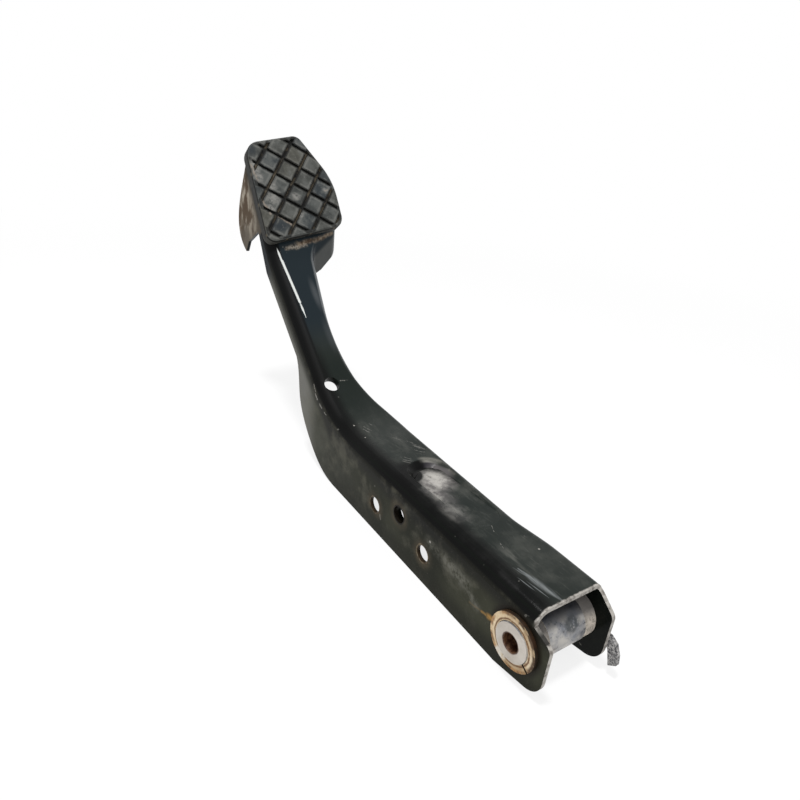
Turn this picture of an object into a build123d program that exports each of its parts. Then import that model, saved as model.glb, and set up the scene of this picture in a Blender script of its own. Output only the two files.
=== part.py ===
from build123d import *
import math
import os

# Brake pedal: an inverted channel pressed from one steel blank, pivoted on a sleeve in two split bushes.
# Origin at the middle of the pivot bore, +X along the arm towards the pad, +Y to the left flange, +Z up
# through the web. The open side of the channel looks down and its free edges carry the pedal at rest.

# Sheet and channel: the right flange stands further out at the pivot and at the bend than at the waist
sheet = 2.0
channel_width = 36.0
pivot_spread = 2.6
bend_spread = 2.9
pivot_spread_end = 22.0
waist_place = 43.0
waist_blend_radius = 60.0
web_height = 20.9
flange_reach = 20.3
left_fold_radius = 7.0
right_fold_radius = 4.0

# Pivot ears
web_end = 7.5
ear_reach = 17.4
ear_shoulder = 10.4
ear_shoulder_radius = 4.0
ear_foot = 15.8
ear_foot_end = 9.0
ear_corner_radius = 9.5
left_ear_top = 14.0
right_ear_top = 18.5

# Line of the arm, seen from the side
bend_start = 135.7
bend_radius = 80.0
neck_angle = 40.0
neck_length = 85.9
plate_angle = 54.0
plate_blend_radius = 45.0
plate_datum = 48.3

# Free edge of the flanges, seen from the side: places past the start of the bend, rises over the long edge
left_heel_start = 21.3
left_heel_middle = 54.3
left_heel_middle_rise = 13.8
left_heel_end = 71.3
left_heel_end_rise = 37.3
right_heel_start = 12.3
right_heel_middle = 32.3
right_heel_middle_rise = 14.8
# Free edge along the neck: its ends past the end of the bend and past the crease
left_neck_lead = 26.4
right_neck_lead = -1.1
neck_flange_lead = 9.1
neck_depth = 18.5

# Plan of the neck: it narrows past the start of the bend and flares past the crease
narrowing_lead = 2.3
narrowing_angle = 19.0
narrowing_radius = 76.0
narrowing_length = 21.2
neck_radius = 80.0
neck_taper = 10.2
flare_lead = 5.1
flare_radius = 9.0
pan_lead = 15.3
pan_corner_radius = 8.5

# Rubber pad
pad_thickness = 5.0
rubber_wall = 1.8
rubber_skirt = 2.0
pad_edge_chamfer = 1.2
pad_width = 58.1
pad_right_bow = 5.6
pad_right_foot = 28.1
pad_left_foot = 38.9
pad_left_head = 29.6
pad_head_width = 39.2
pad_head = 37.4
pad_corner_radius = 6.0
pad_shoulder_radius = 12.0
pad_foot_radius = 9.5
pad_side_radius = 45.0
groove_width = 2.1
groove_depth = 1.6
groove_right = 7.0
groove_up = 2.3
falling_groove_angle = -31.5
falling_groove_pitch = 13.6
rising_groove_angle = 53.3
rising_groove_pitch = 12.5
groove_border = 2.4

# Wing of the left flange beside the pad: places past the crease, rises over it
notch = 23.1
notch_rise = 13.2
wing_step = 40.6
wing_step_rise = 2.7
wing_tip = 45.1
wing_tip_rise = -4.8
wing_heel = 59.1
wing_heel_rise = 12.2
wing_back = 54.1
wing_back_rise = 33.2
wing_end = 43.1

# Lobe of the right flange below the pad
lobe_depth = 16.8
lobe_radius = 9.0

# Pressed recess in the web
recess_start = 44.0
recess_end = 102.8
recess_left = 5.0
recess_right = 13.0
recess_depth = 3.0
recess_corner = 8.7
recess_draft = 50.0

# Holes
link_hole_diameter = 9.0
link_hole_spacing = 22.6
link_hole_middle = 88.5
link_hole_height = 4.2
web_hole_diameter = 9.5
web_hole_side = 8.7
web_hole_turn = 35.7
collar_wall = 1.5
link_collar = 2.5
web_collar = 3.0

# Pivot bushes and stepped sleeve: the bushes reach inwards to the shoulders of its thick middle
bush_flange_diameter = 26.2
bush_flange = 2.0
bush_barrel_diameter = 22.0
bush_reach = 6.5
bush_seat_gap = 0.05
bush_slit = 0.9
bush_slit_angle = 214.0
sleeve_diameter = 18.0
sleeve_middle_diameter = 22.4
sleeve_bore = 8.5
sleeve_proud = 0.8
running_gap = 0.05

# Scrap of felt stuck on the right ear
felt_thickness = 2.2
felt_top = 1.0
felt_reach = 24.0
felt_drop = 15.0
felt_root = 13.6
felt_fray = 1.5

# Room left round the part when a cutting body has to pass it
past = 40.0

half_width = channel_width / 2
neck_turn = math.radians(neck_angle)
plate_turn = math.radians(plate_angle)
neck_dir = Vector(math.cos(neck_turn), math.sin(neck_turn))
plate_dir = Vector(math.cos(plate_turn), math.sin(plate_turn))
bend_centre = Vector(bend_start, web_height + bend_radius)
bend_end = bend_centre + Vector(math.sin(neck_turn), -math.cos(neck_turn)) * bend_radius
crease = bend_end + neck_dir * neck_length
plate_origin = crease + plate_dir * plate_datum
narrowing_start = bend_start + narrowing_lead
flare_start = crease.X + flare_lead
pan_corner = crease.X + pan_lead
neck_flange_end = crease.X + neck_flange_lead
left_neck_start = bend_end.X + left_neck_lead
right_neck_start = bend_end.X + right_neck_lead
pad_left = half_width + rubber_wall
pad_right = pad_width - pad_left
pan_side = pad_right - rubber_wall

# Planes of the pad: local x runs to the right of the pad, local y up along it
pad_normal = Vector(-math.sin(plate_turn), 0, math.cos(plate_turn))
plate_plane = Plane(origin=(plate_origin.X, 0, plate_origin.Y), x_dir=(0, -1, 0), z_dir=pad_normal)
pad_plane = plate_plane.offset(pad_thickness)
pad_face_axis = Axis((0, 0, 0), tuple(pad_normal))

# Plane of the hole in the bend of the web
hole_turn = math.radians(web_hole_turn)
web_hole_plane = Plane(
    origin=(
        bend_start + bend_radius * math.sin(hole_turn),
        web_hole_side,
        web_height + bend_radius * (1 - math.cos(hole_turn)),
    ),
    x_dir=(0, 1, 0),
    z_dir=(-math.sin(hole_turn), 0, math.cos(hole_turn)),
)

# Radii of the bushes: a running fit on the sleeve and a seat gap in the ear
bush_bore = sleeve_diameter / 2 + running_gap
bush_barrel = bush_barrel_diameter / 2 - bush_seat_gap

# The shoulder of the sleeve stands a running gap clear of the inner end of the bush
shoulder_place = half_width - sheet - bush_reach - running_gap


def in_plan(across, along):
    """Plan position of a point given on the plate: across to its right, along up from its datum."""
    return (plate_origin.X + along * math.cos(plate_turn), -across)


def crown(depth):
    """Side line of the web, or of the face that lies depth below it, from the pivot end to past the pad."""
    mean_turn = (neck_turn + plate_turn) / 2
    swing = bend_radius + depth
    start = Vector(-past * 2, web_height - depth)
    bend_from = Vector(bend_start, web_height - depth)
    bend_mid = bend_centre + Vector(math.sin(neck_turn / 2), -math.cos(neck_turn / 2)) * swing
    bend_to = bend_centre + Vector(math.sin(neck_turn), -math.cos(neck_turn)) * swing
    spread = depth / math.cos((plate_turn - neck_turn) / 2)
    corner = crease + Vector(math.sin(mean_turn), -math.cos(mean_turn)) * spread
    finish = corner + plate_dir * (plate_datum + past * 2)
    Line(start, bend_from)
    ThreePointArc(bend_from, bend_mid, bend_to)
    Line(bend_to, corner)
    Line(corner, finish)
    return start, corner, finish


def under_web(depth):
    """Face in the side view between the web line, or a line depth below it, and a level under the part."""
    with BuildSketch(Plane.XZ) as side:
        with BuildLine():
            start, corner, finish = crown(depth)
            Polyline(start, (start.X, -past), (finish.X, -past), finish)
        make_face()
        blend = side.vertices().sort_by_distance(corner)[0]
        fillet(blend, plate_blend_radius + depth)
    return side.sketch


def plate_under(place):
    """Height of the lower face of the pad plate at a place along the arm."""
    lower = plate_origin + Vector(math.sin(plate_turn), -math.cos(plate_turn)) * sheet
    return lower.Y + (place - lower.X) * math.tan(plate_turn)


def arm_plan():
    """Plan of the arm as a face: channel, narrowing neck, flare and pad plate."""
    corner = (pan_corner, -pan_side)
    spread_end = (pivot_spread_end, -half_width - pivot_spread)
    spread_turn = math.degrees(math.atan2(bend_spread, narrowing_start - waist_place))
    with BuildSketch() as plan:
        with BuildLine():
            inward = JernArc(
                start=(narrowing_start, -half_width - bend_spread),
                tangent=(narrowing_start - waist_place, -bend_spread),
                radius=narrowing_radius,
                arc_size=narrowing_angle + spread_turn,
            )
            slope = PolarLine(inward @ 1, narrowing_length, narrowing_angle)
            waist = JernArc(
                start=slope @ 1,
                tangent=slope % 1,
                radius=neck_radius,
                arc_size=-narrowing_angle - neck_taper,
            )
            drop = (flare_start - (waist @ 1).X) * math.tan(math.radians(neck_taper))
            flare = (flare_start, (waist @ 1).Y - drop)
            Polyline(
                waist @ 1,
                flare,
                corner,
                in_plan(pan_side, pad_right_bow),
                in_plan(pad_head_width - pad_left - rubber_wall, pad_head - rubber_wall),
                in_plan(-half_width, pad_left_head - rubber_wall),
                (-past, half_width),
                (-past, -half_width - pivot_spread),
                spread_end,
                (waist_place, -half_width),
                (narrowing_start, -half_width - bend_spread),
            )
        make_face()
        fillet(plan.vertices().sort_by_distance(spread_end)[0], waist_blend_radius)
        fillet(plan.vertices().sort_by_distance((waist_place, -half_width))[0], waist_blend_radius)
        fillet(plan.vertices().sort_by_distance(flare)[0], flare_radius)
        fillet(plan.vertices().sort_by_distance(corner)[0], pan_corner_radius)
    return plan.sketch


def pad_outline(inset):
    """Outline of the rubber pad on its own plane, drawn in by an inset."""
    left = -pad_left
    right = pad_right
    with BuildSketch() as outline:
        with BuildLine():
            Polyline(
                (left, -pad_left_foot),
                (right, -pad_right_foot),
                (right, pad_right_bow),
                (pad_head_width - pad_left, pad_head),
                (left, pad_left_head),
                close=True,
            )
        make_face()
        for corner, radius in (
            ((right, pad_right_bow), pad_side_radius),
            ((right, -pad_right_foot), pad_foot_radius),
            ((left, -pad_left_foot), pad_corner_radius),
            ((left, pad_left_head), pad_shoulder_radius),
            ((pad_head_width - pad_left, pad_head), pad_corner_radius),
        ):
            fillet(outline.vertices().sort_by_distance(corner)[0], radius)
        if inset > 0:
            offset(amount=-inset)
    return outline.sketch


def neck_under(place):
    """Height of the free edge of the flanges at a place along the neck."""
    return bend_end.Y + (place - bend_end.X) * math.tan(neck_turn) - neck_depth


def clear_under(heel, edge):
    """Face in the side view of what is cut away under a flange: its heel, the neck and the given last curves."""
    far = crease.X + past * 2
    neck_to = (neck_flange_end, neck_under(neck_flange_end))
    with BuildSketch(Plane.XZ) as clear:
        with BuildLine():
            Line((-past * 2, -flange_reach), heel[0])
            Spline(*heel, tangents=[(1, 0), (1, math.tan(neck_turn) * 2)])
            Line(heel[-1], neck_to)
            last = edge(neck_to)
            Polyline(
                last,
                (far, plate_under(far)),
                (far, -past * 2),
                (-past * 2, -past * 2),
                (-past * 2, -flange_reach),
            )
        make_face()
        if edge is lobe_edge:
            fillet(clear.vertices().sort_by_distance(lobe_corner())[0], lobe_radius)
    return clear.sketch


def wing_edge(start):
    """Edge of the left flange beside the pad: notch, pointed tip and bowed back up to the plate."""
    end = (crease.X + wing_end, plate_under(crease.X + wing_end))
    tip = crease + Vector(wing_tip, wing_tip_rise)
    Polyline(start, crease + Vector(notch, notch_rise), crease + Vector(wing_step, wing_step_rise), tip)
    Spline(tip, crease + Vector(wing_heel, wing_heel_rise), crease + Vector(wing_back, wing_back_rise), end)
    return end


def lobe_corner():
    """Lowest point of the right flange below the pad, before it is rounded."""
    corner = pan_corner + pan_corner_radius / 2
    return (corner, plate_under(corner) - lobe_depth)


def lobe_edge(start):
    """Edge of the right flange below the pad: down round the corner, then up to the plate."""
    end = in_plan(0, pad_right_bow)[0]
    Polyline(start, lobe_corner(), (end, plate_under(end)))
    return (end, plate_under(end))


def ear_cut(top):
    """Face of what is cut away round an ear, on the plane where the right fold leaves the flat of the web."""
    with BuildSketch(Plane.XZ.offset(half_width + pivot_spread - right_fold_radius)) as cut:
        with BuildLine():
            Polyline(
                (-past * 2, past),
                (-web_end, past),
                (-web_end, top),
                (-ear_reach, ear_shoulder),
                (-ear_reach, -ear_foot),
                (ear_foot_end, -flange_reach),
                (ear_foot_end, -past * 2),
                (-past * 2, -past * 2),
                close=True,
            )
        make_face()
        fillet(cut.vertices().sort_by_distance((-ear_reach, ear_shoulder))[0], ear_shoulder_radius)
        fillet(cut.vertices().sort_by_distance((-ear_reach, -ear_foot))[0], ear_corner_radius)
    return cut.sketch


def recess_body(grow):
    """Body that the press sinks into the web, or the same body grown by the sheet for its lower side."""
    slope = math.degrees(math.atan2(recess_depth, recess_end - recess_start))
    floor = Plane(origin=(recess_start, 0, web_height - grow), x_dir=(1, 0, 0), z_dir=(0, 0, 1)).rotated((0, slope, 0))
    length = recess_end - recess_start
    with BuildPart() as body:
        with BuildSketch(floor):
            with Locations((length / 2, (recess_left - recess_right) / 2)):
                RectangleRounded(length, recess_left + recess_right + grow, recess_corner)
        extrude(amount=recess_depth * 3, taper=-recess_draft)
    return body.part


def fold_edges(body, side, limit):
    """Edges along which the web turns into the flange of one side, up to a limit along the arm."""
    web = body.faces().filter_by(lambda face: face.normal_at().Z > 0.5)
    shared = [edge for face in web for edge in face.edges()]
    rim = [edge for edge in shared if sum(edge.is_same(other) for other in shared) == 1]
    return [edge for edge in rim if -past + 1 < edge.center().X < limit and edge.center().Y * side > 0]


# Left free edge and right free edge of the flanges round the heel of the bend
left_heel = (
    (bend_start + left_heel_start, -flange_reach),
    (bend_start + left_heel_middle, left_heel_middle_rise - flange_reach),
    (bend_start + left_heel_end, left_heel_end_rise - flange_reach),
    (left_neck_start, neck_under(left_neck_start)),
)
right_heel = (
    (bend_start + right_heel_start, -flange_reach),
    (bend_start + right_heel_middle, right_heel_middle_rise - flange_reach),
    (right_neck_start, neck_under(right_neck_start)),
)
fold_limit = plate_origin.X + pad_right_bow

with BuildPart() as arm_envelope:
    with BuildSketch(Plane.XY.offset(-past)):
        add(arm_plan())
    extrude(amount=past * 8)
    extrude(to_extrude=under_web(0), amount=past * 2, both=True, mode=Mode.INTERSECT)
    fillet(fold_edges(arm_envelope.part, 1, fold_limit), left_fold_radius)
    fillet(fold_edges(arm_envelope.part, -1, fold_limit), right_fold_radius)
    add(recess_body(0), mode=Mode.SUBTRACT)

with BuildPart() as arm_hollow:
    with BuildSketch(Plane.XY.offset(-past * 2)) as hollow_plan:
        add(arm_plan())
        offset(amount=-sheet)
        with Locations(in_plan(0, 0)):
            Rectangle(past * 3, half_width - sheet, align=(Align.MIN, Align.MIN))
            Rectangle(past * 3, pan_side - sheet, align=(Align.MIN, Align.MAX))
        with Locations((-past + sheet, -pivot_spread / 2)):
            Rectangle(past, channel_width + pivot_spread - sheet * 2, align=(Align.MAX, Align.CENTER))
    extrude(amount=past * 9)
    extrude(to_extrude=under_web(sheet), amount=past * 2, both=True, mode=Mode.INTERSECT)
    fillet(fold_edges(arm_hollow.part, 1, fold_limit + past), left_fold_radius - sheet)
    fillet(fold_edges(arm_hollow.part, -1, fold_limit + past), right_fold_radius - sheet)
    add(recess_body(sheet), mode=Mode.SUBTRACT)

with BuildPart() as pedal_arm:
    add(arm_envelope.part)
    add(arm_hollow.part, mode=Mode.SUBTRACT)
    # Free edges of the left and right flanges
    extrude(to_extrude=clear_under(left_heel, wing_edge), amount=-past * 2, mode=Mode.SUBTRACT)
    extrude(to_extrude=clear_under(right_heel, lobe_edge), amount=past * 2, mode=Mode.SUBTRACT)
    # Part of the wing that stands out past the head of the plate
    with BuildSketch(Plane.XZ.offset(-half_width)):
        with BuildLine():
            wing_root = (neck_flange_end, neck_under(neck_flange_end))
            Line(wing_edge(wing_root), wing_root)
        make_face()
    extrude(amount=sheet)
    # Pivot end: web cut short, ears with a sloping shoulder and a round lower corner
    extrude(to_extrude=ear_cut(left_ear_top), amount=-past * 2, mode=Mode.SUBTRACT)
    extrude(to_extrude=ear_cut(right_ear_top), amount=past, mode=Mode.SUBTRACT)
    # Collars drawn inwards round the middle link hole and the hole of the bend
    with BuildSketch(Plane.XZ.offset(sheet - half_width)):
        with Locations((link_hole_middle, link_hole_height)):
            Circle(link_hole_diameter / 2 + collar_wall)
    extrude(amount=link_collar)
    with BuildSketch(web_hole_plane.offset(-sheet * 0.75)):
        Circle(web_hole_diameter / 2 + collar_wall)
    extrude(amount=-sheet * 0.25 - web_collar)
    # Bush seats and the three holes of the pushrod clip, through both flanges
    with BuildSketch(Plane.XZ):
        Circle(bush_barrel_diameter / 2)
        with Locations(
            (link_hole_middle - link_hole_spacing, -link_hole_height),
            (link_hole_middle, link_hole_height),
            (link_hole_middle + link_hole_spacing, -link_hole_height),
        ):
            Circle(link_hole_diameter / 2)
    extrude(amount=past, both=True, mode=Mode.SUBTRACT)
    # Hole in the bend of the web
    with BuildSketch(web_hole_plane):
        Circle(web_hole_diameter / 2)
    extrude(amount=sheet + web_collar * 2, both=True, mode=Mode.SUBTRACT)

with BuildPart() as sleeve:
    with BuildSketch(Plane.XZ.offset(-half_width - bush_flange - sleeve_proud)):
        Circle(sleeve_diameter / 2)
        Circle(sleeve_bore / 2, mode=Mode.SUBTRACT)
    extrude(amount=channel_width + pivot_spread + (bush_flange + sleeve_proud) * 2)
    with BuildSketch(Plane.XZ.offset(-shoulder_place)):
        Circle(sleeve_middle_diameter / 2)
        Circle(sleeve_bore / 2, mode=Mode.SUBTRACT)
    extrude(amount=shoulder_place * 2 + pivot_spread)

with BuildPart() as bush_left:
    with BuildSketch(Plane.XY):
        with BuildLine():
            Polyline(
                (bush_bore, half_width - sheet - bush_reach),
                (bush_bore, half_width + bush_flange),
                (bush_flange_diameter / 2, half_width + bush_flange),
                (bush_flange_diameter / 2, half_width),
                (bush_barrel, half_width),
                (bush_barrel, half_width - sheet - bush_reach),
                close=True,
            )
        make_face()
    revolve(axis=Axis.Y)
    with BuildSketch(Plane.XZ.offset(-half_width - bush_flange)):
        with Locations(Rotation(0, 0, bush_slit_angle)):
            Rectangle(bush_flange_diameter, bush_slit, align=(Align.MIN, Align.CENTER))
    extrude(amount=sheet + bush_flange + bush_reach, mode=Mode.SUBTRACT)

with BuildPart() as bush_right:
    add(bush_left.part)
    mirror(about=Plane.XZ.offset(pivot_spread / 2), mode=Mode.REPLACE)

with BuildPart() as rubber_pad:
    with BuildSketch(pad_plane):
        add(pad_outline(0))
    extrude(amount=-pad_thickness - rubber_skirt)
    chamfer(rubber_pad.faces().sort_by(pad_face_axis)[-1].edges(), pad_edge_chamfer)
    with BuildSketch(pad_plane):
        for angle, pitch in (
            (falling_groove_angle, falling_groove_pitch),
            (rising_groove_angle, rising_groove_pitch),
        ):
            turn = math.radians(angle)
            for count in range(-4, 5):
                middle = (
                    groove_right - math.sin(turn) * pitch * count,
                    groove_up + math.cos(turn) * pitch * count,
                )
                with Locations(middle):
                    Rectangle(past * 4, groove_width, rotation=angle)
        add(pad_outline(groove_border), mode=Mode.INTERSECT)
    extrude(amount=-groove_depth, mode=Mode.SUBTRACT)
    add(arm_envelope.part, mode=Mode.SUBTRACT)

with BuildPart() as felt_shred:
    with BuildSketch(Plane.XZ.offset(half_width + pivot_spread)):
        with BuildLine():
            Polyline(
                (-felt_root, -felt_fray),
                (-ear_reach, -felt_top),
                (-felt_reach + felt_fray * 2, -felt_fray * 2),
                (-felt_reach + felt_fray / 2, -felt_drop / 2),
                (-felt_reach, -felt_drop + felt_fray * 2),
                (-ear_reach - felt_fray * 2, -felt_drop),
                (-ear_reach - felt_fray / 2, -felt_drop / 2),
                (-felt_root - felt_fray, -felt_drop / 3),
                close=True,
            )
        make_face()
    extrude(amount=felt_thickness)

os.makedirs("parts", exist_ok=True)
pedal_arm.part.label = "pedal_arm"
export_step(pedal_arm.part, "parts/pedal_arm.step")
sleeve.part.label = "spacer_sleeve"
export_step(sleeve.part, "parts/spacer_sleeve.step")
bush_left.part.label = "bush_left"
export_step(bush_left.part, "parts/bush_left.step")
bush_right.part.label = "bush_right"
export_step(bush_right.part, "parts/bush_right.step")
rubber_pad.part.label = "rubber_pad"
export_step(rubber_pad.part, "parts/rubber_pad.step")
felt_shred.part.label = "felt_shred"
export_step(felt_shred.part, "parts/felt_shred.step")
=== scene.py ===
import math
from types import SimpleNamespace

import bpy
from mathutils import Matrix, Vector

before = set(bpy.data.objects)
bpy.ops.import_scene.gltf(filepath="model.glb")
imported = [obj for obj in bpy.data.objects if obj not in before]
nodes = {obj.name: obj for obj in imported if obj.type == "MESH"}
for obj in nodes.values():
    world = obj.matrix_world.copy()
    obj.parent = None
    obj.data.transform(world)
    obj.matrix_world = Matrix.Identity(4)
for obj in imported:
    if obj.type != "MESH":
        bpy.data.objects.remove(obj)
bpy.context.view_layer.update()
scene = bpy.context.scene
scene.view_settings.view_transform = "Standard"
MM = 0.001

# ---------------------------------------------------------------- camera
# Position in mm in the row frame, and the directions to the right and up in the picture
CAMERA_AT = (-119.49, 175.2, 195.07)
CAMERA_RIGHT = (-0.5468, -0.8321, 0.0928)
CAMERA_UP = (0.4107, -0.17, 0.8958)
SENSOR_WIDTH = 36.0
FOCAL_LENGTH = 27.9
CLIP_START, CLIP_END = 0.01, 400.0

cam_data = bpy.data.cameras.new("camera")
cam_data.sensor_fit = "HORIZONTAL"
cam_data.sensor_width = SENSOR_WIDTH
cam_data.lens = FOCAL_LENGTH
cam_data.clip_start = CLIP_START
cam_data.clip_end = CLIP_END
cam = bpy.data.objects.new("camera", cam_data)
scene.collection.objects.link(cam)
right = Vector(CAMERA_RIGHT).normalized()
up = Vector(CAMERA_UP)
up = (up - right * up.dot(right)).normalized()
back = right.cross(up)
place = Matrix((right, up, back)).transposed().to_4x4()
place.translation = Vector(CAMERA_AT) * MM
cam.matrix_world = place
scene.camera = cam

# ---------------------------------------------------------------- node helpers
# Share of its width that a tapering stroke keeps at its ends
THIN_END = 0.12


class Nodes:
    """Builds a node tree: each call adds nodes and returns an output socket. Lengths are in mm.

    A share is a number from 0 to 1 at each point: how far a layer covers what lies under it.
    """

    def __init__(self, tree):
        self.tree = tree
        self.place = None

    def add(self, kind, **settings):
        node = self.tree.nodes.new(kind)
        for key, value in settings.items():
            setattr(node, key, value)
        return node

    def put(self, socket, value):
        if isinstance(value, bpy.types.NodeSocket):
            self.tree.links.new(value, socket)
        else:
            if socket.type == "RGBA":
                value = (*value, 1.0)
            socket.default_value = value

    def put_all(self, node, **values):
        for name, value in values.items():
            self.put(node.inputs[name.replace("_", " ")], value)

    def coords(self):
        """Position on the object in the row frame at rest."""
        if self.place is None:
            raw = self.add("ShaderNodeTexCoord").outputs["Object"]
            self.place = self.scaled(raw, 1 / MM)
        return self.place

    def normal_parts(self):
        """Components of the surface normal in the row frame at rest."""
        return self.parts(self.add("ShaderNodeTexCoord").outputs["Normal"])

    def parts(self, vector):
        node = self.add("ShaderNodeSeparateXYZ")
        self.put(node.inputs[0], vector)
        return tuple(node.outputs)

    # Arithmetic
    def math(self, op, a, b=None, clamp=False):
        node = self.add("ShaderNodeMath", operation=op, use_clamp=clamp)
        self.put(node.inputs[0], a)
        if b is not None:
            self.put(node.inputs[1], b)
        return node.outputs[0]

    def size(self, value):
        return self.math("ABSOLUTE", value)

    def times(self, *factors):
        out = factors[0]
        for factor in factors[1:]:
            out = self.math("MULTIPLY", out, factor)
        return out

    def most(self, *values):
        out = values[0]
        for value in values[1:]:
            out = self.math("MAXIMUM", out, value)
        return out

    def vec(self, op, a, b=None):
        node = self.add("ShaderNodeVectorMath", operation=op)
        self.put(node.inputs[0], a)
        if b is not None:
            self.put(node.inputs[1], b)
        return node.outputs["Value" if op in ("LENGTH", "DOT_PRODUCT") else "Vector"]

    def scaled(self, vector, factor):
        node = self.add("ShaderNodeVectorMath", operation="SCALE")
        self.put(node.inputs[0], vector)
        self.put(node.inputs["Scale"], factor)
        return node.outputs["Vector"]

    def ramp(self, value, low, high, to_low=0.0, to_high=1.0):
        """Smooth step from to_low, where value is low, to to_high, where it is high."""
        node = self.add("ShaderNodeMapRange", interpolation_type="SMOOTHSTEP")
        self.put_all(node, Value=value, From_Min=low, From_Max=high, To_Min=to_low, To_Max=to_high)
        return node.outputs[0]

    def band(self, value, low, high, soft):
        """1 between low and high, with soft ends."""
        return self.times(self.ramp(value, low - soft, low + soft), self.ramp(value, high + soft, high - soft))

    # Noise
    def noise(self, size, detail, rough, seed, stretch=None):
        """Noise whose features are about size wide, longer where stretch is below 1."""
        at = self.coords()
        if stretch is not None:
            at = self.vec("MULTIPLY", at, stretch)
        node = self.add("ShaderNodeTexNoise", noise_dimensions="4D")
        self.put_all(node, Vector=at, W=seed, Scale=1 / size, Detail=detail, Roughness=rough)
        return node.outputs["Fac"]

    def wobble(self, size, reach, seed):
        """Coordinates pushed about by up to reach."""
        node = self.add("ShaderNodeTexNoise", noise_dimensions="4D")
        self.put_all(node, Vector=self.coords(), W=seed, Scale=1 / size, Detail=3.0)
        centred = self.vec("SUBTRACT", node.outputs["Color"], (0.5, 0.5, 0.5))
        return self.vec("ADD", self.coords(), self.scaled(centred, reach * 2))

    # Layers
    def mix(self, share, a, b):
        node = self.add("ShaderNodeMix", data_type="RGBA")
        for index, value in ((0, share), (6, a), (7, b)):
            self.put(node.inputs[index], value)
        return node.outputs[2]

    def mixf(self, share, a, b):
        node = self.add("ShaderNodeMix", data_type="FLOAT")
        for index, value in ((0, share), (2, a), (3, b)):
            self.put(node.inputs[index], value)
        return node.outputs[0]

    def mottle(self, noise, low, high, first, second):
        """The first tone where the noise is low, the second where it is high."""
        return self.mix(self.ramp(noise, low, high), first, second)

    def cover(self, under, tone, strength, *shares):
        """The colour under, covered by tone up to strength where every share is 1."""
        return self.mix(self.times(*shares, strength), under, tone)

    # Shapes
    def off_axis(self, at, x=0.0, z=0.0):
        """Distance from the line across the arm through x and z."""
        return self.vec("LENGTH", self.vec("MULTIPLY", self.vec("SUBTRACT", at, (x, 0.0, z)), (1, 0, 1)))

    def blob(self, centre, radii, soft, at=None):
        """1 inside an ellipsoid about centre, 0 outside, with a soft rim."""
        at = self.coords() if at is None else at
        scaled = self.vec("DIVIDE", self.vec("SUBTRACT", at, centre), radii)
        return self.ramp(self.vec("LENGTH", scaled), 1.0 - soft, 1.0, 1.0, 0.0)

    def blobs(self, table, at=None):
        """The blobs of a table: centre, radii, softness, share."""
        return self.most(*(self.times(self.blob(centre, radii, soft, at), share)
                           for centre, radii, soft, share in table))

    def stroke(self, start, end, width, at=None, taper=0.0):
        """1 on the line from start to end, fading to 0 at half the width away from it."""
        at = self.coords() if at is None else at
        run = Vector(end) - Vector(start)
        from_start = self.vec("SUBTRACT", at, start)
        reached = self.vec("DOT_PRODUCT", from_start, tuple(run))
        along = self.math("DIVIDE", reached, run.length_squared, clamp=True)
        away = self.vec("LENGTH", self.vec("SUBTRACT", from_start, self.scaled(tuple(run), along)))
        reach = width / 2
        if taper:
            from_middle = self.size(self.math("SUBTRACT", along, 0.5))
            reach = self.ramp(from_middle, 0.5, 0.5 - taper, width * THIN_END, width / 2)
        return self.ramp(away, 0.0, reach, 1.0, 0.0)

    def strokes(self, table, at=None):
        """The strokes of a table: start, end, width, share."""
        return self.most(*(self.times(self.stroke(start, end, width, at), share)
                           for start, end, width, share in table))

    def emboss(self, shader, height, distance, strength):
        """Gives the shader a bump from height."""
        node = self.add("ShaderNodeBump")
        self.put_all(node, Height=height, Distance=distance * MM, Strength=strength)
        self.put(shader.inputs["Normal"], node.outputs[0])


def material(name):
    made = bpy.data.materials.new(name)
    made.use_nodes = True
    tree = made.node_tree
    return made, Nodes(tree), tree.nodes["Principled BSDF"]


def dress(obj, made):
    obj.data.materials.clear()
    obj.data.materials.append(made)


# ---------------------------------------------------------------- places on the arm
WEB = 20.9
HALF_WIDTH = 18.0

# Frame of the tread: a point on its face, its normal and its up direction
PAD_ORIGIN = (277.271, 0.0, 136.846)
PAD_NORMAL = (-0.80902, 0.0, 0.58779)
PAD_UP = (0.58779, 0.0, 0.80902)
# Frame of the neck: a point on its web and the normal there
NECK_ORIGIN = (187.1, 0.0, 39.6)
NECK_NORMAL = (-0.643, 0.0, 0.766)
# Middle of the round end of the recess, and how much narrower than long that end is
RECESS_END = (92.5, -4.0, 0.0)
RECESS_FLATTEN = (1.0, 1.15, 0.0)
LINK_HOLES = ((65.9, -4.2), (88.5, 4.2), (111.1, -4.2))

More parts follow.
